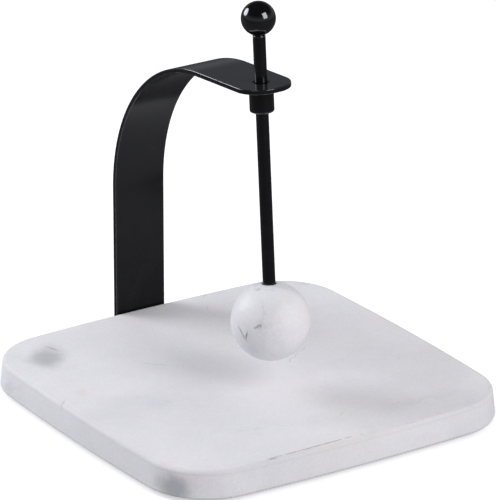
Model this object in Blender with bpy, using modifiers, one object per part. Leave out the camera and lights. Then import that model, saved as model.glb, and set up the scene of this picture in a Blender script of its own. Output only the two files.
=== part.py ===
# Napkin holder: a marble slab, a bent steel strap arm and a marble ball on a sliding rod.
import bmesh
import bpy
from math import asin, cos, pi, radians, sin, sqrt

# All lengths are in metres. The frame's origin is on the table, under the middle of the bounding box.
gap = 0.0003                # left between pieces that touch

slabWidth = 0.2030          # across the middle of two opposite sides, at the bottom edge
slabThickness = 0.0145
slabCorner = 0.0350         # corner radius seen from above
slabBow = 0.0015            # how far each side swells outward at its middle
slabDraft = 0.0015          # the sides lean in by this much towards the top
slabTopRound = 0.0022
slabBottomRound = 0.0012

footRadius = 0.0080
footHeight = 0.0020
footInset = 0.0270          # from the slab's sides to a foot's centre

strapThickness = 0.0025
strapWidth = 0.0295
strapEdge = 0.0004          # rounding of the strap's long edges
notchDepth = 0.0017         # the strap is let into the slab's back side by this much
bendRadius = 0.0874         # outer radius of the big bend
bendCentreHeight = 0.0856
plateRise = radians(4.2)    # the top plate climbs towards its free end
plateLength = 0.0491        # from the end of the big bend to the free end
plateCorner = 0.0132
guideDistance = 0.0352      # from the end of the big bend to the guide hole
tabLength = 0.0390          # from the strap's outer face to the end of the foot tab
tabCorner = 0.0050
tabBendRadius = 0.0045      # outer radius of the bend at the foot

guideRadius = 0.00615
guideBore = 0.00360
guideLength = 0.0122
spigotRadius = 0.00400      # the neck of the collar, pressed into the plate

rodRadius = 0.00320
stubRadius = 0.00230        # the threaded ends of the rod
rodChamfer = 0.0004
knobRadius = 0.00865
knobHeight = 0.0324         # centre of the knob above the plate, along the rod
ballRadius = 0.0200
ballDrop = 0.1237           # centre of the ball below the plate, along the rod
ballHoleRadius = 0.00360
ballHoleDepth = 0.0160

insertWall = 0.0007
insertRadius = 0.0033
screwSpacing = 0.0160
firstScrew = 0.0130         # from the strap's outer face
screwHead = 0.0038
screwShank = 0.0019
screwLength = 0.0098
anchorRadius = 0.0030
anchorBore = 0.0022
anchorLength = 0.0080

# Worked out from the values above
slabBottom = footHeight
slabTop = slabBottom + slabThickness
pocketTop = slabBottom + strapThickness + 2 * gap
tabBottom = slabBottom + gap
strapReach = slabWidth / 2 - notchDepth + gap + strapThickness      # slab's centre to strap's outer face
slabX = (strapReach - slabWidth / 2) / 2
strapX = slabX - strapReach
bendEndX = strapX + bendRadius - bendRadius * sin(plateRise)
bendEndZ = bendCentreHeight + bendRadius * cos(plateRise)
guideX = bendEndX + guideDistance * cos(plateRise)
guideZ = bendEndZ + guideDistance * sin(plateRise)


def clearScene():
    for old in list(bpy.data.objects):
        bpy.data.objects.remove(old, do_unlink=True)


def newCollection(name):
    made = bpy.data.collections.new(name)
    bpy.context.scene.collection.children.link(made)
    return made


def newMaterial(name, colour, roughness, metallic):
    made = bpy.data.materials.new(name)
    made.use_nodes = True
    made.diffuse_color = (*colour, 1.0)
    shader = made.node_tree.nodes["Principled BSDF"]
    shader.inputs["Base Color"].default_value = (*colour, 1.0)
    shader.inputs["Roughness"].default_value = roughness
    shader.inputs["Metallic"].default_value = metallic
    return made


def addObject(name, mesh, material, parent=None, place=(0, 0, 0)):
    piece = bpy.data.objects.new(name, mesh)
    pieces.objects.link(piece)
    piece.parent = parent
    piece.location = place
    mesh.materials.append(material)
    mesh.shade_smooth()
    mesh.set_sharp_from_angle(angle=radians(35))
    return piece


def addCutter(name, mesh, parent=None, place=(0, 0, 0)):
    cutter = bpy.data.objects.new(name, mesh)
    cutters.objects.link(cutter)
    cutter.parent = parent
    cutter.location = place
    cutter.hide_render = True
    cutter.display_type = "WIRE"
    return cutter


def addEmpty(name, place, lean=0.0):
    empty = bpy.data.objects.new(name, None)
    pieces.objects.link(empty)
    empty.location = place
    empty.rotation_euler = (0, -lean, 0)
    return empty


def cut(piece, cutter):
    boolean = piece.modifiers.new("cut_" + cutter.name, "BOOLEAN")
    boolean.operation = "DIFFERENCE"
    boolean.solver = "EXACT"
    boolean.object = cutter


def bevel(piece, width, segments, angle=40, weighted=False):
    rounding = piece.modifiers.new("edge_round", "BEVEL")
    rounding.width = width
    rounding.segments = segments
    rounding.limit_method = "WEIGHT" if weighted else "ANGLE"
    rounding.angle_limit = radians(angle)


# Half profile, (radius, height) from the top down the outside, as a mesh for a Screw modifier.
def turnedMesh(name, profile):
    mesh = bpy.data.meshes.new(name)
    shape = bmesh.new()
    corners = [shape.verts.new((radius, 0, height)) for radius, height in profile]
    for upper, lower in zip(corners, corners[1:]):
        shape.edges.new((upper, lower))
    shape.to_mesh(mesh)
    shape.free()
    return mesh


def closedProfile(profile):
    return profile + profile[:1]


def spin(piece, steps):
    screw = piece.modifiers.new("turn", "SCREW")
    screw.axis = "Z"
    screw.angle = 2 * pi
    screw.steps = steps
    screw.render_steps = steps
    screw.use_merge_vertices = True
    screw.merge_threshold = 0.00001


def cylinderMesh(name, radius, low, high, segments=32):
    mesh = bpy.data.meshes.new(name)
    shape = bmesh.new()
    bmesh.ops.create_cone(shape, cap_ends=True, segments=segments, radius1=radius, radius2=radius,
                          depth=high - low)
    bmesh.ops.translate(shape, verts=shape.verts, vec=(0, 0, (high + low) / 2))
    shape.to_mesh(mesh)
    shape.free()
    return mesh


def arcPoints(centre, radius, start, end, count):
    steps = [start + (end - start) * index / count for index in range(count + 1)]
    return [(centre[0] + radius * cos(angle), centre[1] + radius * sin(angle)) for angle in steps]


# One turn of the rounded square: each corner is an arc, each side swells by slabBow.
def slabOutline(inset):
    half = slabWidth / 2 - slabBow - inset
    corner = slabCorner - inset
    straight = half - corner
    cornerSteps = 12
    sideSteps = 8
    quarter = arcPoints((straight, straight), corner, 0, pi / 2, cornerSteps)
    for index in range(1, sideSteps):
        along = 1 - 2 * index / sideSteps
        quarter.append((along * straight, half + slabBow * (1 - along * along)))
    turns = [(1, 0), (0, 1), (-1, 0), (0, -1)]
    return [(x * c - y * s, x * s + y * c) for c, s in turns for x, y in quarter]


def marbleBase():
    low = slabOutline(0)
    high = slabOutline(slabDraft)
    mesh = bpy.data.meshes.new("marble_base")
    shape = bmesh.new()
    bmesh.ops.create_cone(shape, cap_ends=True, segments=len(low), radius1=1, radius2=1, depth=slabThickness)
    weight = shape.edges.layers.float.new("bevel_weight_edge")
    rims = {True: [], False: []}
    for corner in shape.verts:
        rims[corner.co.z > 0].append(corner)
    for isTop, ring in rims.items():
        outline = high if isTop else low
        ring.sort(key=lambda corner: angleOf(corner.co.x, corner.co.y))
        ordered = sorted(outline, key=lambda point: angleOf(*point))
        for corner, (x, y) in zip(ring, ordered):
            corner.co.x = x
            corner.co.y = y
    for edge in shape.edges:
        heights = [corner.co.z > 0 for corner in edge.verts]
        if heights[0] == heights[1]:
            edge[weight] = 1.0 if heights[0] else slabBottomRound / slabTopRound
    shape.to_mesh(mesh)
    shape.free()
    middle = (slabX, 0, slabBottom + slabThickness / 2)
    base = addObject("marble_base", mesh, marble, place=middle)
    bevel(base, slabTopRound, 4, weighted=True)
    cut(base, strapSeatCutter())
    for index, x in enumerate(screwPlaces()):
        hole = cylinderMesh(f"anchor_hole_{index + 1}", anchorRadius + gap, slabBottom - 0.001,
                            pocketTop + anchorLength + 2 * gap, 24)
        cut(base, addCutter(f"anchor_hole_{index + 1}", hole, place=(x, 0, 0)))
    return base


# Angle of a point round the origin, counted from the first corner's start, in 0 to 2 pi.
def angleOf(x, y):
    length = sqrt(x * x + y * y)
    angle = asin(max(-1.0, min(1.0, y / length)))
    if x < 0:
        angle = pi - angle
    return angle % (2 * pi)


def screwPlaces():
    return [strapX + firstScrew + index * screwSpacing for index in range(2)]


# The notch in the slab's back side and the pocket under it, as one outline extruded sideways.
def strapSeatCutter():
    wall = strapX + strapThickness + gap
    pocketEnd = strapX + tabLength + gap
    outside = strapX - 0.01
    above = slabTop + 0.01
    below = slabBottom - 0.01
    chamfer = 0.0026
    outline = [(outside, below), (pocketEnd, below), (pocketEnd, pocketTop), (wall + chamfer, pocketTop),
               (wall, pocketTop + chamfer), (wall, above), (outside, above)]
    curve = bpy.data.curves.new("strap_seat", "CURVE")
    curve.dimensions = "2D"
    curve.fill_mode = "BOTH"
    curve.extrude = strapWidth / 2 + gap
    spline = curve.splines.new("POLY")
    spline.points.add(len(outline) - 1)
    for point, (x, z) in zip(spline.points, outline):
        point.co = (x, z, 0, 1)
    spline.use_cyclic_u = True
    flat = bpy.data.objects.new("strap_seat_outline", curve)
    cutters.objects.link(flat)
    flat.rotation_euler = (pi / 2, 0, 0)
    bpy.context.view_layer.update()
    mesh = bpy.data.meshes.new_from_object(flat.evaluated_get(bpy.context.evaluated_depsgraph_get()))
    shape = bmesh.new()
    shape.from_mesh(mesh)
    bmesh.ops.remove_doubles(shape, verts=shape.verts, dist=0.00001)
    bmesh.ops.recalc_face_normals(shape, faces=shape.faces)
    shape.to_mesh(mesh)
    shape.free()
    cutter = addCutter("strap_seat", mesh)
    cutter.matrix_world = flat.matrix_world
    bpy.data.objects.remove(flat, do_unlink=True)
    return cutter


# Middle line of the strap from the tab's end to the plate's end, as stations (x, z).
def strapPath():
    half = strapThickness / 2
    tabZ = tabBottom + half
    tabInner = tabBendRadius - half
    bendInner = bendRadius - half
    tabBendX = strapX + tabBendRadius
    stations = [(strapX + tabLength - tabCorner * (1 - cos(angle)), tabZ)
                for angle in [radians(18 * index) for index in range(6)]]
    stations += arcPoints((tabBendX, tabBottom + tabBendRadius), tabInner, -pi / 2, -pi, 6)
    centre = (strapX + bendRadius, bendCentreHeight)
    stations += arcPoints(centre, bendInner, pi, pi / 2 + plateRise, 40)
    endX, endZ = stations[-1]
    for index in range(11):
        along = plateLength - plateCorner * (1 - sin(radians(9 * index)))
        stations.append((endX + along * cos(plateRise), endZ + along * sin(plateRise)))
    return stations


# Half width at a station: full, but for the round corners of the tab and of the free end.
def strapHalfWidth(index, count):
    if index < 6:
        return strapWidth / 2 - tabCorner * (1 - sin(radians(18 * index)))
    fromEnd = count - 1 - index
    if fromEnd < 11:
        return strapWidth / 2 - plateCorner * (1 - cos(radians(9 * (10 - fromEnd))))
    return strapWidth / 2


def strapArm():
    path = strapPath()
    mesh = bpy.data.meshes.new("strap_arm")
    shape = bmesh.new()
    bmesh.ops.create_grid(shape, x_segments=len(path) - 1, y_segments=1, size=1)
    columns = sorted({round(corner.co.x, 5) for corner in shape.verts})
    for corner in shape.verts:
        index = columns.index(round(corner.co.x, 5))
        side = 1 if corner.co.y > 0 else -1
        x, z = path[index]
        corner.co = (x, side * strapHalfWidth(index, len(path)), z)
    shape.to_mesh(mesh)
    shape.free()
    arm = addObject("strap_arm", mesh, blackPaint)
    wall = arm.modifiers.new("wall", "SOLIDIFY")
    wall.thickness = strapThickness
    wall.offset = 0
    wall.use_even_offset = True
    bevel(arm, strapEdge, 2, angle=50)
    hole = cylinderMesh("guide_hole", spigotRadius + gap, -0.006, 0.006, 40)
    cut(arm, addCutter("guide_hole", hole, parent=liftAxis))
    sink = [(0, tabBottom + 0.004), (screwShank + gap, tabBottom + 0.004),
            (screwShank + gap, tabBottom + screwHead - screwShank),
            (screwHead + gap, tabBottom), (screwHead + gap, tabBottom - 0.002), (0, tabBottom - 0.002)]
    for index, x in enumerate(screwPlaces()):
        cutter = addCutter(f"screw_hole_{index + 1}", turnedMesh("screw_hole", sink), place=(x, 0, 0))
        spin(cutter, 24)
        cut(arm, cutter)
    return arm


def guideCollar():
    top = -strapThickness - gap
    bottom = top - guideLength
    profile = [(guideBore + 0.0002, -gap), (spigotRadius, -gap), (spigotRadius, top),
               (guideRadius - 0.0003, top), (guideRadius, top - 0.0003), (guideRadius, bottom + 0.0009),
               (guideRadius - 0.0003, bottom + 0.0003), (guideRadius - 0.0009, bottom),
               (guideBore + 0.0004, bottom), (guideBore, bottom + 0.0004), (guideBore, -gap - 0.0002)]
    collar = addObject("guide_collar", turnedMesh("guide_collar", closedProfile(profile)), blackPaint,
                       parent=liftAxis)
    spin(collar, 40)
    return collar


def liftRod():
    top = knobHeight - knobFlat() - gap
    bottom = -ballDrop + ballHoleDepth + 0.0026
    stubTop = knobHeight + 0.0005
    stubBottom = -ballDrop + ballRadius - ballHoleDepth + 0.0015
    profile = [(0, stubTop), (stubRadius - 0.0005, stubTop), (stubRadius, stubTop - 0.0005),
               (stubRadius, top), (rodRadius - rodChamfer, top), (rodRadius, top - rodChamfer),
               (rodRadius, bottom + rodChamfer), (rodRadius - rodChamfer, bottom), (stubRadius, bottom),
               (stubRadius, stubBottom + 0.0005), (stubRadius - 0.0005, stubBottom), (0, stubBottom)]
    rod = addObject("lift_rod", turnedMesh("lift_rod", profile), blackPaint, parent=liftAxis)
    spin(rod, 32)
    return rod


# Distance from the knob's centre to the small flat that faces the rod's shoulder.
def knobFlat():
    return sqrt(knobRadius ** 2 - (rodRadius - rodChamfer) ** 2)


# Points down the outside of a ball from its top to the angle low, measured from the top.
def ballProfile(radius, low, steps):
    return [(radius * sin(low * index / steps), radius * cos(low * index / steps)) for index in range(steps + 1)]


def knob():
    flat = knobFlat()
    low = pi - asin((rodRadius - rodChamfer) / knobRadius)
    bore = stubRadius + gap
    profile = ballProfile(knobRadius, low, 18)
    profile += [(bore, -flat), (bore, 0.0010), (0, 0.0010)]
    piece = addObject("knob", turnedMesh("knob", profile), blackPaint, parent=liftAxis,
                      place=(0, 0, knobHeight))
    spin(piece, 36)
    return piece


def marbleBall():
    rim = asin(ballHoleRadius / ballRadius)
    steps = 22
    floor = ballRadius - ballHoleDepth
    profile = [(0, floor), (ballHoleRadius, floor)]
    for index in range(steps + 1):
        angle = rim + (pi - rim) * index / steps
        profile.append((ballRadius * sin(angle), ballRadius * cos(angle)))
    profile[-1] = (0, -ballRadius)
    ball = addObject("marble_ball", turnedMesh("marble_ball", profile), marble, parent=liftAxis,
                     place=(0, 0, -ballDrop))
    spin(ball, 44)
    return ball


def sleeveMesh(name, outer, bore, low, high):
    profile = [(bore, high), (outer, high), (outer, low), (bore, low)]
    return turnedMesh(name, closedProfile(profile))


def ballInsert():
    low = ballRadius - ballHoleDepth + gap
    high = ballHoleDepth + 0.0026 - gap
    mesh = sleeveMesh("ball_insert", insertRadius, insertRadius - insertWall, low, high)
    insert = addObject("ball_insert", mesh, brass, parent=liftAxis, place=(0, 0, -ballDrop))
    spin(insert, 24)
    return insert


def baseAnchors():
    for index, x in enumerate(screwPlaces()):
        mesh = sleeveMesh("base_anchor", anchorRadius, anchorBore, 0, anchorLength)
        anchor = addObject(f"base_anchor_{index + 1}", mesh, brass, place=(x, 0, pocketTop + gap))
        spin(anchor, 24)


def armScrews():
    headBottom = tabBottom + gap
    cone = screwHead - screwShank
    profile = [(0, screwLength), (screwShank - 0.0004, screwLength), (screwShank, screwLength - 0.0004),
               (screwShank, cone), (screwHead, 0.0), (0, 0)]
    for index, x in enumerate(screwPlaces()):
        name = f"arm_screw_{index + 1}"
        screw = addObject(name, turnedMesh(name, profile), steel, place=(x, 0, headBottom))
        spin(screw, 24)
        socket = cylinderMesh(f"hex_socket_{index + 1}", 0.00145, -0.001, 0.0014, 6)
        cut(screw, addCutter(f"hex_socket_{index + 1}", socket, place=(x, 0, headBottom)))


def rubberFeet():
    reach = slabWidth / 2 - footInset
    places = {"front_left": (-1, -1), "front_right": (1, -1), "back_left": (-1, 1), "back_right": (1, 1)}
    for name, (alongX, alongY) in places.items():
        mesh = cylinderMesh("foot", footRadius, 0, footHeight - gap, 28)
        foot = addObject("foot_" + name, mesh, rubber, place=(slabX + alongX * reach, alongY * reach, 0))
        bevel(foot, 0.0004, 1)


clearScene()
pieces = newCollection("napkin_holder")
cutters = newCollection("cutters")
marble = newMaterial("marble", (0.80, 0.79, 0.80), 0.35, 0.0)
blackPaint = newMaterial("black_paint", (0.012, 0.012, 0.014), 0.15, 0.0)
brass = newMaterial("brass", (0.70, 0.50, 0.22), 0.35, 1.0)
steel = newMaterial("steel", (0.55, 0.55, 0.57), 0.30, 1.0)
rubber = newMaterial("rubber", (0.03, 0.03, 0.03), 0.80, 0.0)
liftAxis = addEmpty("lift_axis", (guideX, 0, guideZ), plateRise)
marbleBase()
strapArm()
guideCollar()
liftRod()
knob()
marbleBall()
ballInsert()
baseAnchors()
armScrews()
rubberFeet()
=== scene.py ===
import bpy
import numpy as np
from math import asin, cos, pi, radians, sin, sqrt
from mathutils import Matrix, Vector


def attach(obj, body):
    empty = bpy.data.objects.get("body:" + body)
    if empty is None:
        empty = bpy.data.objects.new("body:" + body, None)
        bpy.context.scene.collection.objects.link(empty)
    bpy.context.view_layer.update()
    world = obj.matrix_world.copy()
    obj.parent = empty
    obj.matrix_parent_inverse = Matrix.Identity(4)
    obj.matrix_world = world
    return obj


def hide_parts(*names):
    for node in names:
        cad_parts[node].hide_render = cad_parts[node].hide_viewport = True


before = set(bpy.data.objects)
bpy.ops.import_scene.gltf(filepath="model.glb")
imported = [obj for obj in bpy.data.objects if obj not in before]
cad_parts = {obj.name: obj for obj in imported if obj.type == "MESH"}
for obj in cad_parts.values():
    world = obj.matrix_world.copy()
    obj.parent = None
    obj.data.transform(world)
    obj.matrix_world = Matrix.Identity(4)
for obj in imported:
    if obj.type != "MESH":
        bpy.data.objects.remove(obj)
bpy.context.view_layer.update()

# Napkin holder: marble slab, black strap arm, and a marble ball on a sliding rod. All lengths in metres.
# The origin is on the table under the middle of the box, the arm stands at -X, the plate reaches towards +X.


# Fills a mesh from points and faces. Faces that come out inside out are turned round: the signed volume, a
# sum of corner products over the triangles, must be positive.
def fillMesh(name, points, quads, triangles, edgeMask=None):
    fans = np.concatenate([quads[:, [0, 1, 2]], quads[:, [0, 2, 3]], triangles]) if len(quads) else triangles
    first, second, third = points[fans[:, 0]], points[fans[:, 1]], points[fans[:, 2]]
    if np.einsum("ij,ij->", first, np.cross(second, third)) < 0:
        quads = quads[:, ::-1]
        triangles = triangles[:, ::-1]
    mesh = bpy.data.meshes.new(name)
    mesh.vertices.add(len(points))
    mesh.vertices.foreach_set("co", points.astype(np.float32).ravel())
    mesh.loops.add(quads.size + triangles.size)
    mesh.loops.foreach_set("vertex_index", np.concatenate([quads.ravel(), triangles.ravel()]).astype(np.int32))
    mesh.polygons.add(len(quads) + len(triangles))
    starts = np.concatenate([np.arange(len(quads)) * 4, quads.size + np.arange(len(triangles)) * 3])
    mesh.polygons.foreach_set("loop_start", starts.astype(np.int32))
    mesh.update(calc_edges=True)
    mesh.validate()
    mask = mesh.attributes.new("edgeMask", "FLOAT", "POINT")
    if edgeMask is not None:
        mask.data.foreach_set("value", edgeMask.astype(np.float32).ravel())
    mesh.shade_smooth()
    return mesh


# Rings of points joined into a skin. rings is (row, around, xyz). With ends the first and last rows are
# closed by a fan to their middle; without, the last row joins the first.
def skin(name, rings, ends=True, edgeMask=None):
    rows, around = rings.shape[:2]
    points = rings.reshape(-1, 3)
    index = np.arange(rows * around).reshape(rows, around)
    upper = index[:-1] if ends else index
    lower = index[1:] if ends else np.roll(index, -1, axis=0)
    quads = np.stack([upper, lower, np.roll(lower, -1, axis=1), np.roll(upper, -1, axis=1)], axis=-1)
    quads = quads.reshape(-1, 4)
    triangles = np.zeros((0, 3), int)
    if ends:
        middles = rings[[0, -1]].mean(axis=1)
        points = np.concatenate([points, middles])
        top, bottom = rows * around, rows * around + 1
        firstRing, lastRing = index[0], index[-1]
        triangles = np.concatenate([
            np.stack([np.full(around, top), firstRing, np.roll(firstRing, -1)], axis=1),
            np.stack([np.full(around, bottom), np.roll(lastRing, -1), lastRing], axis=1)])
    if edgeMask is not None:
        edgeMask = np.repeat(edgeMask, around)
        if ends:
            edgeMask = np.concatenate([edgeMask, [0, 0]])
    return fillMesh(name, points, quads, triangles, edgeMask)


# A line of (across, height) points whose corners become arcs. Each corner is (across, height, radius); the arc
# touches both neighbouring lines, and a support point stands on each line just outside it. Returns the points
# and a mask that is 1 on the arcs.
def roundCorners(corners, steps=5, closed=False):
    spots = np.array([corner[:2] for corner in corners], float)
    points, mask = [], []
    for index, (across, height, radius) in enumerate(corners):
        if radius == 0 or (not closed and index in (0, len(corners) - 1)):
            points.append((across, height))
            mask.append(0)
            continue
        here = spots[index]
        before = spots[index - 1] - here
        after = spots[(index + 1) % len(corners)] - here
        before /= np.linalg.norm(before)
        after /= np.linalg.norm(after)
        half = np.arccos(np.clip(before @ after, -1, 1)) / 2
        setback = radius / np.tan(half)
        middle = (before + after) / np.linalg.norm(before + after)
        centre = here + middle * radius / np.sin(half)
        start, end = here + before * setback, here + after * setback
        turn = np.linspace(0, 1, steps + 1)
        sweep = pi - 2 * half
        weightStart = np.sin((1 - turn) * sweep) / np.sin(sweep)
        weightEnd = np.sin(turn * sweep) / np.sin(sweep)
        arc = centre + weightStart[:, None] * (start - centre) + weightEnd[:, None] * (end - centre)
        points += [tuple(start + before * radius * 0.25), *map(tuple, arc), tuple(end + after * radius * 0.25)]
        mask += [0, *[1] * len(arc), 0]
    return np.array(points), np.array(mask, float)


# A turned piece: the profile (radius, height) carried round the Z axis, (r cos t, r sin t, h).
def turned(name, profile, steps=64, closed=False, edgeMask=None):
    angle = np.linspace(0, 2 * pi, steps, endpoint=False)
    radius = profile[:, 0][:, None]
    rings = np.stack([radius * np.cos(angle), radius * np.sin(angle),
                      np.repeat(profile[:, 1][:, None], steps, axis=1)], axis=-1)
    return skin(name, rings, ends=not closed, edgeMask=edgeMask)


# Places a turned piece on the rod's leaning axis, height up from the top of the plate's guide hole.
def ontoAxis(mesh, height=0.0):
    points = np.empty(len(mesh.vertices) * 3)
    mesh.vertices.foreach_get("co", points)
    points = points.reshape(-1, 3) + [0, 0, height]
    lean = strap["rise"]
    turnedX = points[:, 0] * cos(lean) - points[:, 2] * sin(lean)
    turnedZ = points[:, 0] * sin(lean) + points[:, 2] * cos(lean)
    points = np.stack([turnedX, points[:, 1], turnedZ], axis=1) + guideAt
    mesh.vertices.foreach_set("co", points.astype(np.float32).ravel())
    mesh.update()
    return mesh


# Shifts a mesh by place.
def moved(mesh, place):
    points = np.empty(len(mesh.vertices) * 3)
    mesh.vertices.foreach_get("co", points)
    mesh.vertices.foreach_set("co", (points.reshape(-1, 3) + place).astype(np.float32).ravel())
    mesh.update()
    return mesh


# A flat outline (x, z) pushed sideways along Y from -half to +half, with a flat face at each end.
def sidePrism(name, outline, half):
    outline = np.array(outline)
    count = len(outline)
    points = np.concatenate([np.column_stack([outline[:, 0], np.full(count, side), outline[:, 1]])
                             for side in (-half, half)])
    near = np.arange(count)
    sides = np.stack([near, np.roll(near, -1), np.roll(near, -1) + count, near + count], axis=1)
    mesh = bpy.data.meshes.new(name)
    ends = [near.tolist(), (near + count)[::-1].tolist()]
    mesh.from_pydata(points.tolist(), [], [*sides[:, ::-1].tolist(), *ends])
    return mesh


def holder(name, contents):
    piece = bpy.data.objects.new(name, contents)
    bpy.context.scene.collection.objects.link(piece)
    return piece


# Cuts the cutter meshes out of a mesh and gives the finished mesh back.
def cutOut(mesh, cutters):
    piece = holder("cut_blank", mesh)
    helpers = [holder("cutter", cutter) for cutter in cutters]
    for helper in helpers:
        boolean = piece.modifiers.new("cut", "BOOLEAN")
        boolean.operation = "DIFFERENCE"
        boolean.solver = "EXACT"
        boolean.object = helper
    bpy.context.view_layer.update()
    done = bpy.data.meshes.new_from_object(piece.evaluated_get(bpy.context.evaluated_depsgraph_get()))
    for helper in [piece, *helpers]:
        bpy.data.objects.remove(helper, do_unlink=True)
    done.shade_smooth()
    done.set_sharp_from_angle(angle=radians(32))
    return done


def addPiece(name, mesh, material, body, node):
    mesh.materials.clear()
    mesh.materials.append(material)
    piece = holder(name, mesh)
    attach(piece, body)
    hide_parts(node)
    return piece


def addNode(tree, kind, values=None, settings=None):
    made = tree.nodes.new(kind)
    for name, value in (settings or {}).items():
        setattr(made, name, value)
    for name, value in (values or {}).items():
        if isinstance(value, bpy.types.NodeSocket):
            tree.links.new(value, made.inputs[name])
        else:
            made.inputs[name].default_value = value
    return made


def maths(tree, operation, first, second=0.0, clamp=False):
    return addNode(tree, "ShaderNodeMath", {0: first, 1: second},
                   {"operation": operation, "use_clamp": clamp}).outputs[0]


def vectorMaths(tree, operation, first, second):
    return addNode(tree, "ShaderNodeVectorMath", {0: first, 1: second}, {"operation": operation}).outputs[0]


def remap(tree, value, low, high, toLow=0.0, toHigh=1.0):
    return addNode(tree, "ShaderNodeMapRange", {"Value": value, "From Min": low, "From Max": high,
                                                "To Min": toLow, "To Max": toHigh},
                   {"interpolation_type": "SMOOTHSTEP"}).outputs[0]


def mixColour(tree, amount, first, second, blend="MIX"):
    return addNode(tree, "ShaderNodeMix", {0: amount, 6: first, 7: second},
                   {"data_type": "RGBA", "blend_type": blend}).outputs[2]


def noise(tree, position, scale, detail=2.0, roughness=0.5, distortion=0.0):
    return addNode(tree, "ShaderNodeTexNoise", {"Vector": position, "Scale": scale, "Detail": detail,
                                                "Roughness": roughness, "Distortion": distortion})


def newGroup(name, inputs, outputs):
    tree = bpy.data.node_groups.new(name, "ShaderNodeTree")
    kinds = {"value": "NodeSocketFloat", "vector": "NodeSocketVector", "colour": "NodeSocketColor"}
    for label, kind, start in inputs:
        made = tree.interface.new_socket(name=label, in_out="INPUT", socket_type=kinds[kind])
        if start is not None:
            made.default_value = start
    for label, kind in outputs:
        tree.interface.new_socket(name=label, in_out="OUTPUT", socket_type=kinds[kind])
    return tree, tree.nodes.new("NodeGroupInput").outputs, tree.nodes.new("NodeGroupOutput").inputs


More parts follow.
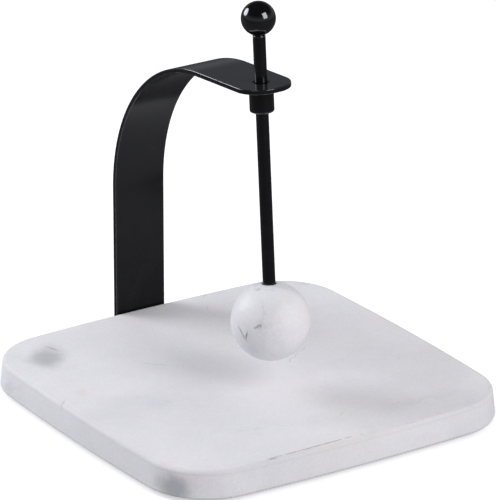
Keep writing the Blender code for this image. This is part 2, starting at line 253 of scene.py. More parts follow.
# White marble: soft grey clouds, warm patches, thin veins on the ridges of a warped noise, hairline cracks on
# cell borders, and a fine crystal grain. The rounded edges are painted a little darker, a painted shade that
# holds down the light they catch.
def marbleGroup():
    tree, given, result = newGroup("marble_stone", [
        ("Position", "vector", None), ("Edge", "value", 0.0), ("Cloud Scale", "value", 12.0),
        ("Cloud Amount", "value", 0.5), ("Vein Scale", "value", 14.0), ("Vein Amount", "value", 0.5),
        ("Crack Scale", "value", 30.0), ("Crack Amount", "value", 0.5)],
        [("Colour", "colour"), ("Roughness", "value"), ("Height", "value")])
    position = given["Position"]
    drift = noise(tree, position, 9.0, 3.0).outputs["Color"]
    drift = vectorMaths(tree, "SUBTRACT", drift, (0.5, 0.5, 0.5))
    drift = vectorMaths(tree, "MULTIPLY", drift, (0.05, 0.05, 0.05))
    warped = vectorMaths(tree, "ADD", position, drift)
    cloud = remap(tree, noise(tree, warped, given["Cloud Scale"], 5.0, 0.55).outputs[0], 0.46, 0.74)
    finer = maths(tree, "MULTIPLY", given["Cloud Scale"], 3.1)
    wisp = remap(tree, noise(tree, warped, finer, 4.0, 0.6, 0.8).outputs[0], 0.42, 0.78)
    elsewhere = vectorMaths(tree, "ADD", warped, (3.1, 1.7, 0.4))
    warm = remap(tree, noise(tree, elsewhere, given["Cloud Scale"], 3.0).outputs[0], 0.48, 0.75)
    ridge = noise(tree, warped, given["Vein Scale"], 4.0, 0.62, 0.3).outputs[0]
    ridge = maths(tree, "ABSOLUTE", maths(tree, "SUBTRACT", ridge, 0.5))
    vein = remap(tree, ridge, 0.0, 0.016, 1.0, 0.0)
    halo = remap(tree, ridge, 0.0, 0.075, 1.0, 0.0)
    patchScale = maths(tree, "MULTIPLY", given["Vein Scale"], 0.55)
    patch = remap(tree, noise(tree, vectorMaths(tree, "ADD", position, (0.7, 5.2, 2.4)), patchScale, 2.0)
                  .outputs[0], 0.47, 0.62)
    vein = maths(tree, "MULTIPLY", vein, patch)
    halo = maths(tree, "MULTIPLY", halo, patch)
    shiver = noise(tree, position, 220.0, 3.0).outputs["Color"]
    shiver = vectorMaths(tree, "MULTIPLY", shiver, (0.006, 0.006, 0.006))
    cell = addNode(tree, "ShaderNodeTexVoronoi", {"Vector": vectorMaths(tree, "ADD", warped, shiver),
                                                  "Scale": given["Crack Scale"]},
                   {"feature": "DISTANCE_TO_EDGE"}).outputs["Distance"]
    crackPatch = remap(tree, noise(tree, position, 46.0, 3.0, 0.6).outputs[0], 0.58, 0.68)
    crack = maths(tree, "MULTIPLY", remap(tree, cell, 0.0, 0.010, 1.0, 0.0), crackPatch)
    grain = addNode(tree, "ShaderNodeTexVoronoi", {"Vector": position, "Scale": 1300.0}).outputs["Color"]
    grain = addNode(tree, "ShaderNodeSeparateColor", {"Color": grain}).outputs[0]
    pit = addNode(tree, "ShaderNodeTexVoronoi", {"Vector": position, "Scale": 240.0}).outputs["Distance"]
    pitPatch = remap(tree, noise(tree, position, 60.0, 2.0).outputs[0], 0.60, 0.72)
    pit = maths(tree, "MULTIPLY", remap(tree, pit, 0.05, 0.16, 1.0, 0.0), pitPatch)
    colour = mixColour(tree, maths(tree, "MULTIPLY", cloud, given["Cloud Amount"]),
                       (0.785, 0.780, 0.812, 1), (0.580, 0.585, 0.630, 1))
    wispAmount = maths(tree, "MULTIPLY", given["Cloud Amount"], 0.32)
    colour = mixColour(tree, maths(tree, "MULTIPLY", wisp, wispAmount), colour, (0.640, 0.645, 0.685, 1))
    colour = mixColour(tree, maths(tree, "MULTIPLY", warm, 0.30), colour, (0.800, 0.765, 0.745, 1))
    haloAmount = maths(tree, "MULTIPLY", given["Vein Amount"], 0.35)
    colour = mixColour(tree, maths(tree, "MULTIPLY", halo, haloAmount), colour, (0.560, 0.570, 0.610, 1))
    veined = maths(tree, "MULTIPLY", vein, given["Vein Amount"])
    colour = mixColour(tree, veined, colour, (0.300, 0.308, 0.335, 1))
    cracked = maths(tree, "MULTIPLY", crack, given["Crack Amount"])
    colour = mixColour(tree, cracked, colour, (0.150, 0.145, 0.150, 1))
    colour = mixColour(tree, maths(tree, "MULTIPLY", pit, 0.35), colour, (0.400, 0.395, 0.400, 1))
    # Painted shade: where the Edge mask is 1 (rounded edges, the ball's hole lip) the colour goes a fifth of
    # the way to grey.
    colour = mixColour(tree, maths(tree, "MULTIPLY", given["Edge"], 0.20), colour, (0.480, 0.480, 0.500, 1))
    speckle = remap(tree, grain, 0.0, 1.0, 0.965, 1.015)
    colour = mixColour(tree, 1.0, colour, addNode(tree, "ShaderNodeCombineColor",
                       {0: speckle, 1: speckle, 2: speckle}).outputs[0], "MULTIPLY")
    polish = noise(tree, position, 75.0, 3.0).outputs[0]
    rough = maths(tree, "ADD", remap(tree, polish, 0.3, 0.7, 0.44, 0.58), maths(tree, "MULTIPLY", crack, 0.3))
    rough = maths(tree, "ADD", rough, maths(tree, "MULTIPLY", given["Edge"], 0.25))
    height = maths(tree, "MULTIPLY", noise(tree, position, 150.0, 3.0).outputs[0], 0.30)
    height = maths(tree, "SUBTRACT", height, maths(tree, "MULTIPLY", crack, 0.6))
    height = maths(tree, "SUBTRACT", height, maths(tree, "MULTIPLY", pit, 0.5))
    height = maths(tree, "ADD", height, maths(tree, "MULTIPLY", grain, 0.03))
    tree.links.new(colour, result["Colour"])
    tree.links.new(rough, result["Roughness"])
    tree.links.new(height, result["Height"])
    return tree


# A ragged spot: 1 at the centre, falling to 0 where the distance over reach comes to 1. A long thin reach
# makes a vein. Turn is round Axis, and wobble is how far a noise pushes the spot's shape, in metres.
def spotGroup():
    tree, given, result = newGroup("ragged_spot", [
        ("Position", "vector", None), ("Centre", "vector", (0, 0, 0)),
        ("Reach", "vector", (0.01, 0.01, 0.01)),
        ("Axis", "vector", (0, 0, 1)), ("Turn", "value", 0.0), ("Wobble", "value", 0.004),
        ("Grain", "value", 90.0), ("Breaks", "value", 0.0)],
        [("Mask", "value")])
    push = noise(tree, given["Position"], given["Grain"], 3.0, 0.6).outputs["Color"]
    push = vectorMaths(tree, "SUBTRACT", push, (0.5, 0.5, 0.5))
    push = addNode(tree, "ShaderNodeVectorMath", {0: push, "Scale": given["Wobble"]},
                   {"operation": "SCALE"}).outputs[0]
    offset = vectorMaths(tree, "SUBTRACT", vectorMaths(tree, "ADD", given["Position"], push), given["Centre"])
    offset = addNode(tree, "ShaderNodeVectorRotate",
                     {"Vector": offset, "Axis": given["Axis"], "Angle": given["Turn"]},
                     {"rotation_type": "AXIS_ANGLE"}).outputs[0]
    offset = vectorMaths(tree, "DIVIDE", offset, given["Reach"])
    distance = addNode(tree, "ShaderNodeVectorMath", {0: offset}, {"operation": "LENGTH"}).outputs["Value"]
    broken = noise(tree, given["Position"], 330.0, 2.0).outputs[0]
    broken = remap(tree, broken, 0.42, 0.52)
    keep = maths(tree, "SUBTRACT", 1.0, maths(tree, "MULTIPLY", maths(tree, "SUBTRACT", 1.0, broken),
                                                given["Breaks"]))
    tree.links.new(maths(tree, "MULTIPLY", remap(tree, distance, 0.25, 1.0, 1.0, 0.0), keep), result["Mask"])
    return tree


# Black paint: orange peel, faint smears of handling, dust specks, a thin grey film that fades out low down
# (painted shade, so the paint is darker towards the bottom), and a little wear along the edges. The clear coat
# lies on the edges.
def paintGroup():
    tree, given, result = newGroup("black_coat", [
        ("Position", "vector", None), ("Edge", "value", 0.0), ("Peel Scale", "value", 700.0),
        ("Base Roughness", "value", 0.2), ("Smear", "value", 0.5), ("Wear", "value", 0.5),
        ("Chalk And Low Shade", "value", 0.0)],
        [("Colour", "colour"), ("Roughness", "value"), ("Height", "value"), ("Coat", "value")])
    position = given["Position"]
    peel = noise(tree, position, given["Peel Scale"], 2.0, 0.4).outputs[0]
    smear = remap(tree, noise(tree, position, 55.0, 4.0, 0.6, 1.2).outputs[0], 0.45, 0.75)
    speck = addNode(tree, "ShaderNodeTexVoronoi", {"Vector": position, "Scale": 420.0}).outputs["Distance"]
    speckPatch = remap(tree, noise(tree, position, 90.0, 2.0).outputs[0], 0.55, 0.70)
    speck = maths(tree, "MULTIPLY", remap(tree, speck, 0.03, 0.10, 1.0, 0.0), speckPatch)
    worn = remap(tree, noise(tree, position, 260.0, 4.0, 0.65).outputs[0], 0.50, 0.66)
    worn = maths(tree, "MULTIPLY", maths(tree, "MULTIPLY", worn, given["Edge"]), given["Wear"])
    colour = mixColour(tree, smear, (0.0030, 0.0030, 0.0040, 1), (0.0055, 0.0055, 0.0070, 1))
    # Painted shade: the grey film is thin below 2 cm and full above 10 cm, so the paint is darker towards the
    # bottom.
    up = addNode(tree, "ShaderNodeSeparateXYZ", {0: position}).outputs[2]
    filmAndLowShade = maths(tree, "MULTIPLY", given["Chalk And Low Shade"], remap(tree, up, 0.02, 0.10, 0.1, 1.0))
    colour = mixColour(tree, filmAndLowShade, colour, (0.0280, 0.0290, 0.0360, 1))
    colour = mixColour(tree, maths(tree, "MULTIPLY", speck, 0.5), colour, (0.0600, 0.0600, 0.0620, 1))
    colour = mixColour(tree, worn, colour, (0.0750, 0.0740, 0.0740, 1))
    rough = maths(tree, "ADD", given["Base Roughness"],
                  maths(tree, "MULTIPLY", maths(tree, "MULTIPLY", smear, given["Smear"]), 0.16))
    rough = maths(tree, "ADD", rough, maths(tree, "MULTIPLY", speck, 0.25))
    height = maths(tree, "ADD", peel, maths(tree, "MULTIPLY", speck, 0.4))
    coat = maths(tree, "MULTIPLY", given["Edge"], remap(tree, worn, 0.0, 0.6, 1.0, 0.4))
    tree.links.new(coat, result["Coat"])
    tree.links.new(colour, result["Colour"])
    tree.links.new(rough, result["Roughness"])
    tree.links.new(height, result["Height"])
    return tree


# Turned or drawn metal: fine lines round the axis are a noise squeezed along height, with tarnish in patches.
def metalGroup():
    tree, given, result = newGroup("worked_metal", [
        ("Position", "vector", None), ("Clean", "colour", (0.6, 0.6, 0.6, 1)),
        ("Tarnished", "colour", (0.3, 0.3, 0.3, 1)), ("Base Roughness", "value", 0.3)],
        [("Colour", "colour"), ("Roughness", "value"), ("Height", "value")])
    position = given["Position"]
    lines = noise(tree, vectorMaths(tree, "MULTIPLY", position, (300.0, 300.0, 9000.0)), 1.0, 2.0).outputs[0]
    tarnish = remap(tree, noise(tree, position, 380.0, 4.0, 0.6).outputs[0], 0.42, 0.70)
    colour = mixColour(tree, tarnish, given["Clean"], given["Tarnished"])
    rough = maths(tree, "ADD", given["Base Roughness"], maths(tree, "MULTIPLY", tarnish, 0.18))
    tree.links.new(colour, result["Colour"])
    tree.links.new(rough, result["Roughness"])
    tree.links.new(lines, result["Height"])
    return tree


# Starts a material: the Principled shader with constants on its own sockets, and the position and edge mask.
def newMaterial(name, constants):
    made = bpy.data.materials.new(name)
    made.use_nodes = True
    tree = made.node_tree
    shader = tree.nodes["Principled BSDF"]
    for label, value in constants.items():
        shader.inputs[label].default_value = value
    position = addNode(tree, "ShaderNodeTexCoord").outputs["Object"]
    edge = addNode(tree, "ShaderNodeAttribute", settings={"attribute_name": "edgeMask"}).outputs["Fac"]
    return made, tree, shader, position, edge


def connectLook(tree, shader, colour, rough, height, strength, distance):
    tree.links.new(colour, shader.inputs["Base Color"])
    tree.links.new(rough, shader.inputs["Roughness"])
    bump = addNode(tree, "ShaderNodeBump", {"Height": height, "Strength": strength, "Distance": distance})
    tree.links.new(bump.outputs[0], shader.inputs["Normal"])


# Spots are (centre, reach, axis, turn, wobble, grain, breaks, colour, amount), lengths in metres.
def marbleMaterial(name, shift, values, spots):
    made, tree, shader, position, edge = newMaterial(name, {
        "Subsurface Weight": 0.12, "Subsurface Scale": 0.004, "Specular IOR Level": 0.35})
    shifted = vectorMaths(tree, "ADD", position, shift)
    stone = addNode(tree, "ShaderNodeGroup", settings={"node_tree": marbleStone})
    tree.links.new(shifted, stone.inputs["Position"])
    tree.links.new(edge, stone.inputs["Edge"])
    for label, value in values.items():
        stone.inputs[label].default_value = value
    colour = stone.outputs["Colour"]
    for centre, reachOut, axis, turn, wobble, grain, breaks, tint, amount in spots:
        spot = addNode(tree, "ShaderNodeGroup", settings={"node_tree": raggedSpot})
        tree.links.new(position, spot.inputs["Position"])
        spot.inputs["Centre"].default_value = centre
        spot.inputs["Reach"].default_value = reachOut
        spot.inputs["Axis"].default_value = axis
        spot.inputs["Turn"].default_value = turn
        spot.inputs["Wobble"].default_value = wobble
        spot.inputs["Grain"].default_value = grain
        spot.inputs["Breaks"].default_value = breaks
        colour = mixColour(tree, maths(tree, "MULTIPLY", spot.outputs["Mask"], amount), colour, (*tint, 1))
    connectLook(tree, shader, colour, stone.outputs["Roughness"], stone.outputs["Height"], 0.35, 0.0004)
    return made


def paintMaterial(name, values, constants, bumpStrength):
    made, tree, shader, position, edge = newMaterial(name, constants)
    coat = addNode(tree, "ShaderNodeGroup", settings={"node_tree": blackCoat})
    tree.links.new(position, coat.inputs["Position"])
    tree.links.new(edge, coat.inputs["Edge"])
    for label, value in values.items():
        coat.inputs[label].default_value = value
    tree.links.new(coat.outputs["Coat"], shader.inputs["Coat Weight"])
    connectLook(tree, shader, coat.outputs["Colour"], coat.outputs["Roughness"], coat.outputs["Height"],
                bumpStrength, 0.00005)
    return made


def metalMaterial(name, clean, tarnished, rough):
    made, tree, shader, position, _ = newMaterial(name, {"Metallic": 1.0})
    skinNode = addNode(tree, "ShaderNodeGroup", {"Clean": (*clean, 1), "Tarnished": (*tarnished, 1),
                                                 "Base Roughness": rough}, {"node_tree": workedMetal})
    tree.links.new(position, skinNode.inputs["Position"])
    connectLook(tree, shader, skinNode.outputs["Colour"], skinNode.outputs["Roughness"],
                skinNode.outputs["Height"], 0.25, 0.00004)
    return made


def rubberMaterial():
    made, tree, shader, position, _ = newMaterial("foot_rubber", {"Specular IOR Level": 0.35})
    mottle = remap(tree, noise(tree, position, 500.0, 4.0, 0.6).outputs[0], 0.35, 0.70)
    colour = mixColour(tree, mottle, (0.022, 0.022, 0.024, 1), (0.045, 0.045, 0.046, 1))
    rough = remap(tree, mottle, 0.0, 1.0, 0.68, 0.86)
    connectLook(tree, shader, colour, rough, noise(tree, position, 1600.0, 2.0).outputs[0], 0.4, 0.0001)
    return made


marbleStone = marbleGroup()
raggedSpot = spotGroup()
blackCoat = paintGroup()
workedMetal = metalGroup()
smokeGrey = (0.43, 0.43, 0.46)
inkGrey = (0.16, 0.155, 0.16)
upright = (0, 0, 1)
sideways = (0, 1, 0)
slabMarble = marbleMaterial("slab_marble", (0.0, 0.0, 0.0), {
    "Cloud Scale": 11.0, "Cloud Amount": 0.42, "Vein Scale": 9.0, "Vein Amount": 0.30, "Crack Scale": 22.0,
    "Crack Amount": 0.30}, [
    ((-0.0700, -0.0745, 0.0165), (0.024, 0.014, 0.009), upright, radians(29), 0.012, 60.0, 0.0,
     smokeGrey, 0.40),
    ((-0.0688, -0.0752, 0.0165), (0.015, 0.0105, 0.006), upright, radians(29), 0.008, 90.0, 0.0,
     (0.30, 0.30, 0.33), 0.42),
    ((-0.0788, -0.0671, 0.0165), (0.0070, 0.0011, 0.006), upright, radians(-17), 0.003, 70.0, 0.3,
     (0.34, 0.33, 0.40), 0.60),
    ((-0.0160, -0.0980, 0.0160), (0.0075, 0.0012, 0.006), upright, radians(50), 0.005, 120.0, 0.5,
     (0.45, 0.44, 0.46), 0.42),
    ((-0.0210, -0.0830, 0.0165), (0.007, 0.004, 0.003), upright, radians(30), 0.006, 120.0, 0.0,
     (0.74, 0.62, 0.62), 0.28),
    ((0.0822, -0.0950, 0.0068), (0.015, 0.013, 0.008), upright, radians(20), 0.010, 90.0, 0.0,
     (0.31, 0.32, 0.37), 0.62),
    ((0.0970, -0.0225, 0.0165), (0.0007, 0.045, 0.0010), upright, 0.0, 0.0012, 90.0, 1.0, inkGrey, 0.62),
    ((0.0978, -0.0480, 0.0165), (0.0008, 0.0036, 0.0010), upright, 0.0, 0.0014, 200.0, 0.4, inkGrey, 0.75),
    ((0.0985, 0.0330, 0.0160), (0.0008, 0.006, 0.0009), upright, 0.0, 0.0016, 160.0, 0.8, inkGrey, 0.70),
    ((0.0970, 0.0510, 0.0165), (0.0006, 0.0022, 0.0010), upright, 0.4, 0.0010, 160.0, 0.5, inkGrey, 0.60),
    ((-0.0850, 0.0900, 0.0100), (0.030, 0.010, 0.010), upright, radians(-35), 0.014, 60.0, 0.0,
     (0.42, 0.43, 0.47), 0.50),
    ((-0.0980, 0.0480, 0.0120), (0.0030, 0.030, 0.0012), (1, 0, 0), radians(8), 0.003, 90.0, 0.6,
     (0.26, 0.26, 0.28), 0.60),
    ((0.0300, 0.1000, 0.0100), (0.034, 0.004, 0.0016), sideways, radians(7), 0.004, 80.0, 0.5,
     (0.34, 0.34, 0.37), 0.50),
])
ballMarble = marbleMaterial("ball_marble", (0.4, 0.3, 0.1), {
    "Cloud Scale": 30.0, "Cloud Amount": 0.36, "Vein Scale": 26.0, "Vein Amount": 0.11, "Crack Scale": 70.0,
    "Crack Amount": 0.05}, [
    ((0.0270, -0.0196, 0.0508), (0.0070, 0.006, 0.0009), sideways, radians(-52), 0.0016, 240.0, 0.4,
     (0.24, 0.24, 0.26), 0.66),
    ((0.0299, -0.0187, 0.0506), (0.0007, 0.004, 0.0030), sideways, radians(-15), 0.0010, 240.0, 0.2,
     inkGrey, 0.75),
    ((0.0350, -0.0155, 0.0562), (0.0040, 0.003, 0.0014), sideways, radians(37), 0.0040, 620.0, 1.0,
     inkGrey, 0.55),
    ((0.0080, 0.0120, 0.0500), (0.0110, 0.0100, 0.0010), sideways, radians(35), 0.0030, 160.0, 0.5,
     (0.30, 0.30, 0.33), 0.55),
    ((0.0150, 0.0140, 0.0610), (0.0100, 0.0080, 0.0050), sideways, radians(-20), 0.0050, 120.0, 0.0,
     (0.45, 0.45, 0.49), 0.35),
    ((0.0227, -0.0076, 0.0705), (0.0036, 0.0020, 0.0010), sideways, radians(20), 0.0022, 300.0, 0.4,
     (0.44, 0.44, 0.48), 0.50),
])
strapPaint = paintMaterial(
    "strap_paint", {"Peel Scale": 650.0, "Base Roughness": 0.16, "Smear": 0.3, "Wear": 0.7, "Chalk And Low Shade": 0.24},
    {"Specular IOR Level": 0.17, "Coat Roughness": 0.06, "Coat IOR": 1.6}, 0.20)
rodPaint = paintMaterial(
    "rod_paint", {"Peel Scale": 900.0, "Base Roughness": 0.13, "Smear": 0.4, "Wear": 0.5},
    {"Specular IOR Level": 0.6, "Coat Roughness": 0.05, "Coat IOR": 1.7}, 0.15)
collarPaint = paintMaterial(
    "collar_paint", {"Peel Scale": 900.0, "Base Roughness": 0.21, "Smear": 0.3, "Wear": 0.6},
    {"Specular IOR Level": 0.55, "Coat Roughness": 0.10}, 0.15)
knobPaint = paintMaterial(
    "knob_paint", {"Peel Scale": 500.0, "Base Roughness": 0.10, "Smear": 0.25, "Wear": 0.0},
    {"Specular IOR Level": 1.0}, 0.05)
brass = metalMaterial("turned_brass", (0.78, 0.57, 0.26), (0.45, 0.30, 0.12), 0.26)
steel = metalMaterial("zinc_steel", (0.62, 0.62, 0.64), (0.36, 0.36, 0.38), 0.28)
rubber = rubberMaterial()
print("materials made")


# Air between pieces that only meet, and how far a cutter reaches past what it cuts
gap = 0.0003
overshoot = 0.001

slab = {
    "width": 0.2030, "thickness": 0.0145, "bottom": 0.0020, "corner": 0.0350,
    "bow": 0.0015,  # how far each side swells outward
    "draft": 0.0015,  # how far the top is smaller than the bottom on each side
    "topRound": 0.0022, "bottomRound": 0.0012,
    "notch": 0.0017,  # how deep the upright is let into the side
}


# One ring of the slab's outline, inset from its bottom edge: corner arcs of radius (corner - inset) and sides
# that swell outward by bow times (1 - t squared).
def slabOutline(inset, cornerSteps=20, sideSteps=20):
    half = slab["width"] / 2 - slab["bow"] - inset
    radius = max(slab["corner"] - inset, 0.0005)
    straight = half - radius
    turn = np.linspace(0, pi / 2, cornerSteps, endpoint=False)
    along = np.linspace(1, -1, sideSteps, endpoint=False)
    x = np.concatenate([straight + radius * np.cos(turn), along * straight])
    y = np.concatenate([straight + radius * np.sin(turn), half + slab["bow"] * (1 - along ** 2)])
    quarters = [(x, y), (-y, x), (-x, -y), (y, -x)]
    return np.concatenate([np.stack(quarter, axis=1) for quarter in quarters])


def makeSlab():
    height = slab["thickness"]
    edge, edgeMask = roundCorners([(0.030, 0.0, 0), (0.0, 0.0, slab["bottomRound"]),
                                   (slab["draft"], height, slab["topRound"]), (0.030, height, 0)], 8)
    inner = np.array([[0.055, height], [0.080, height]])
    under = np.array([[0.080, 0.0], [0.055, 0.0]])
    profile = np.concatenate([under, edge, inner])
    edgeMask = np.concatenate([[0, 0], edgeMask, [0, 0]])
    rings = np.stack([np.column_stack([slabOutline(inset), np.full(160, z)]) for inset, z in profile])
    mesh = skin("base_slab", rings, edgeMask=edgeMask)
    mesh = moved(mesh, (slabX, 0, slab["bottom"]))
    wall = strapX + strap["thickness"] + gap
    outside, inside = strapX - 0.01, strapX + strap["tab"] + gap
    below, above, chamfer = slab["bottom"] - 0.01, slabTop + 0.01, 0.0026
    seat = sidePrism("seat", [
        (outside, below), (inside, below), (inside, pocketTop), (wall + chamfer, pocketTop),
        (wall, pocketTop + chamfer), (wall, above), (outside, above)], strap["width"] / 2 + gap)
    holes = []
    for place in screwPlaces:
        wallRadius = anchor["radius"] + gap
        ends = np.array([(wallRadius, slab["bottom"] - overshoot),
                         (wallRadius, pocketTop + anchor["length"] + 2 * gap)])
        holes.append(moved(turned("hole", ends, 40), (place, 0, 0)))
    return addPiece("base_slab", cutOut(mesh, [seat, *holes]), slabMarble, "stand", "marble_base")


strap = {
    "thickness": 0.0025, "width": 0.0295, "edge": 0.00045,
    "bend": 0.0874, "bendHeight": 0.0856,  # the big bend's outside radius, and the height it starts at
    "rise": radians(4.2),  # how steeply the plate climbs
    "plate": 0.0491, "plateCorner": 0.0132, "guide": 0.0352,
    "tab": 0.0390, "tabCorner": 0.0050, "tabBend": 0.0045,
}


# The strap is a flat blank, a rounded rectangle in (length, across), bent along the path. Bend maps a point
# (s, y, h) to path(s) + h * normal(s): a straight tab, a small quarter bend, the straight upright, the big
# bend and the straight plate, each found from how far s has run.
def bendStrap(s, y, h):
    half = strap["thickness"] / 2
    small, big = strap["tabBend"] - half, strap["bend"] - half
    tabRun = strap["tab"] - strap["tabBend"]
    uprightRun = strap["bendHeight"] - (tabBottom + strap["tabBend"])
    smallRun, bigRun = small * pi / 2, big * (pi / 2 - strap["rise"])
    ends = np.cumsum([tabRun, smallRun, uprightRun, bigRun])
    part = np.searchsorted(ends, s)
    zero = np.zeros_like(s)
    run = s - np.concatenate([[0], ends])[part]
    uprightX = strapX + half
    tabX = strapX + strap["tabBend"]
    heading = np.choose(part, [zero + pi, pi - run / small, zero + pi / 2, pi / 2 - run / big,
                               zero + strap["rise"]])
    x = np.choose(part, [strapX + strap["tab"] - run, tabX - small * np.sin(run / small), uprightX + zero,
                         uprightX + big * (1 - np.cos(run / big)), bendEndX + half * sin(strap["rise"])
                         + run * cos(strap["rise"])])
    z = np.choose(part, [tabBottom + half + zero, tabBottom + strap["tabBend"] - small * np.cos(run / small),
                         tabBottom + strap["tabBend"] + run, strap["bendHeight"] + big * np.sin(run / big),
                         bendEndZ - half * cos(strap["rise"]) + run * sin(strap["rise"])])
    return np.stack([x - h * np.sin(heading), y, z + h * np.cos(heading)], axis=-1)


def strapLength():
    half = strap["thickness"] / 2
    small, big = strap["tabBend"] - half, strap["bend"] - half
    return (strap["tab"] - strap["tabBend"] + small * pi / 2 + strap["bendHeight"] - tabBottom
            - strap["tabBend"] + big * (pi / 2 - strap["rise"]) + strap["plate"])


# Half outline of the blank inset by d: (s, w) along one long side, with a quarter arc at each end.
def blankSide(inset, length, middleSteps=170, cornerSteps=14):
    near, far = strap["tabCorner"], strap["plateCorner"]
    full = strap["width"] / 2
    turn = np.linspace(0, pi / 2, cornerSteps)
    middle = np.linspace(near, length - far, middleSteps + 2)[1:-1]
    s = np.concatenate([near - (near - inset) * np.cos(turn), middle,
                        length - far + (far - inset) * np.sin(turn)])
    w = np.concatenate([full - near + (near - inset) * np.sin(turn), np.full(middleSteps, full - inset),
                        full - far + (far - inset) * np.cos(turn)])
    return s, w


def makeStrap():
    length = strapLength()
    half = strap["thickness"] / 2
    rim, mask = roundCorners([(0.0012, half, 0), (0.0, half, strap["edge"]), (0.0, -half, strap["edge"]),
                              (0.0012, -half, 0)], 5)
    across = np.linspace(1, -1, 9)
    loops = []
    for inset, h in rim:
        s, w = blankSide(inset, length)
        endS = np.full(len(across) - 2, s[-1])
        startS = np.full(len(across) - 2, s[0])
        loopS = np.concatenate([s, endS, s[::-1], startS])
        loopY = np.concatenate([w, across[1:-1] * w[-1], -w[::-1], -across[1:-1] * w[0]])
        loops.append(bendStrap(loopS, loopY, np.full(len(loopS), h)))
    rings = np.stack(loops)
    rows, around = rings.shape[:2]
    index = np.arange(rows * around).reshape(rows, around)
    upper, lower = index[:-1], index[1:]
    quads = np.stack([upper, lower, np.roll(lower, -1, axis=1), np.roll(upper, -1, axis=1)], axis=-1)
    quads = quads.reshape(-1, 4)
    points = [rings.reshape(-1, 3)]
    masks = [np.repeat(mask, around)]
    faces = [quads]
    base = rows * around
    for row, h, flip in ((0, half, True), (rows - 1, -half, False)):
        s, w = blankSide(rim[row][0], length)
        stations = len(s)
        inner = across[1:-1]
        gridS = np.repeat(s[1:-1][:, None], len(inner), axis=1)
        gridY = w[1:-1][:, None] * inner
        points.append(bendStrap(gridS.ravel(), gridY.ravel(), np.full(gridS.size, h)))
        masks.append(np.zeros(gridS.size))
        loop = index[row]
        grid = np.empty((stations, len(across)), int)
        grid[:, 0] = loop[:stations]
        grid[:, -1] = loop[stations + len(inner):2 * stations + len(inner)][::-1]
        grid[-1, 1:-1] = loop[stations:stations + len(inner)]
        grid[0, 1:-1] = loop[2 * stations + len(inner):][::-1]
        grid[1:-1, 1:-1] = base + np.arange(gridS.size).reshape(gridS.shape)
        base += gridS.size
        sheet = np.stack([grid[:-1, :-1], grid[:-1, 1:], grid[1:, 1:], grid[1:, :-1]], axis=-1).reshape(-1, 4)
        faces.append(sheet[:, ::-1] if flip else sheet)
    mesh = fillMesh("arm_strap", np.concatenate(points), np.concatenate(faces), np.zeros((0, 3), int),
                    np.concatenate(masks))
    holeRadius = collar["spigot"] + gap
    hole = ontoAxis(turned("hole", np.array([[holeRadius, 0.006], [holeRadius, -0.006]]), 72))
    sinks = []
    wide, narrow = screw["head"] + gap, screw["shank"] + gap
    for place in screwPlaces:
        cone = np.array([(narrow, tabBottom + 0.004), (narrow, tabBottom + screw["head"] - screw["shank"]),
                         (wide, tabBottom), (wide, tabBottom - 0.002)])
        sinks.append(moved(turned("sink", cone, 40), (place, 0, 0)))
    return addPiece("arm_strap", cutOut(mesh, [hole, *sinks]), strapPaint, "stand", "strap_arm")


collar = {"radius": 0.00615, "bore": 0.0036, "length": 0.0122, "spigot": 0.0040}


# A bush with a neck: the neck fills the plate's hole and the body hangs under the plate.
def makeCollar():
    top = -strap["thickness"] - gap
    bottom = top - collar["length"]
    profile, mask = roundCorners([
        (collar["bore"], -gap, 0.0001), (collar["spigot"], -gap, 0.0001), (collar["spigot"], top, 0.0001),
        (collar["radius"], top, 0.0003), (collar["radius"], bottom, 0.0010), (collar["bore"], bottom, 0.0004)],
        5, closed=True)
    mesh = ontoAxis(turned("guide_bush", profile, 72, closed=True, edgeMask=mask))
    return addPiece("guide_bush", mesh, collarPaint, "stand", "guide_collar")


rod = {"radius": 0.0032, "stub": 0.0023, "chamfer": 0.0004, "topStub": 0.0005, "bottomStub": 0.0015}
knob = {"radius": 0.00865, "height": 0.0324, "boreTop": 0.0010}


# How far under the knob's middle the flat that meets the rod lies: sqrt(R^2 - r^2).
def knobFlat():
    return sqrt(knob["radius"] ** 2 - (rod["radius"] - rod["chamfer"]) ** 2)


def makeRod():
    top = knob["height"] - knobFlat() - gap
    bottom = -ball["drop"] + ball["holeDepth"] + ball["shoulder"]
    stubTop = knob["height"] + rod["topStub"]
    stubBottom = -ball["drop"] + ball["radius"] - ball["holeDepth"] + rod["bottomStub"]
    corners = [(0, stubTop, 0), (rod["stub"], stubTop, 0.0005), (rod["stub"], top, 0.0001),
               (rod["radius"], top, 0.0004), (rod["radius"], bottom, 0.0004), (rod["stub"], bottom, 0.0001),
               (rod["stub"], stubBottom, 0.0005), (0, stubBottom, 0)]
    profile, mask = roundCorners(corners, 5)
    profile, mask = profile[1:-1], mask[1:-1]
    mesh = ontoAxis(turned("slide_rod", profile, 56, edgeMask=mask))
    return addPiece("slide_rod", mesh, rodPaint, "weight", "lift_rod")


ball = {
    "radius": 0.0200, "drop": 0.1237, "hole": 0.0036, "holeDepth": 0.0160,
    "shoulder": 0.0026,  # the rod's lower shoulder stands holeDepth plus this above the ball's middle
}


# A ball as a turned profile: (R sin a, R cos a) from the angle start to the angle end, measured from the top.
def ballArc(radius, start, end, steps):
    angle = np.linspace(start, end, steps)
    return np.stack([radius * np.sin(angle), radius * np.cos(angle)], axis=1)


def makeKnob():
    low = pi - asin((rod["radius"] - rod["chamfer"]) / knob["radius"])
    bore = rod["stub"] + gap
    arc = ballArc(knob["radius"], 0.02, low, 60)
    ceiling = knob["boreTop"]
    under = np.array([(bore + 0.0001, -knobFlat()), (bore, -knobFlat() + 0.0001), (bore, ceiling - 0.0001),
                      (bore - 0.0001, ceiling)])
    mesh = ontoAxis(turned("top_knob", np.concatenate([arc, under]), 96), knob["height"])
    mesh.set_sharp_from_angle(angle=radians(40))
    return addPiece("top_knob", mesh, knobPaint, "weight", "knob")


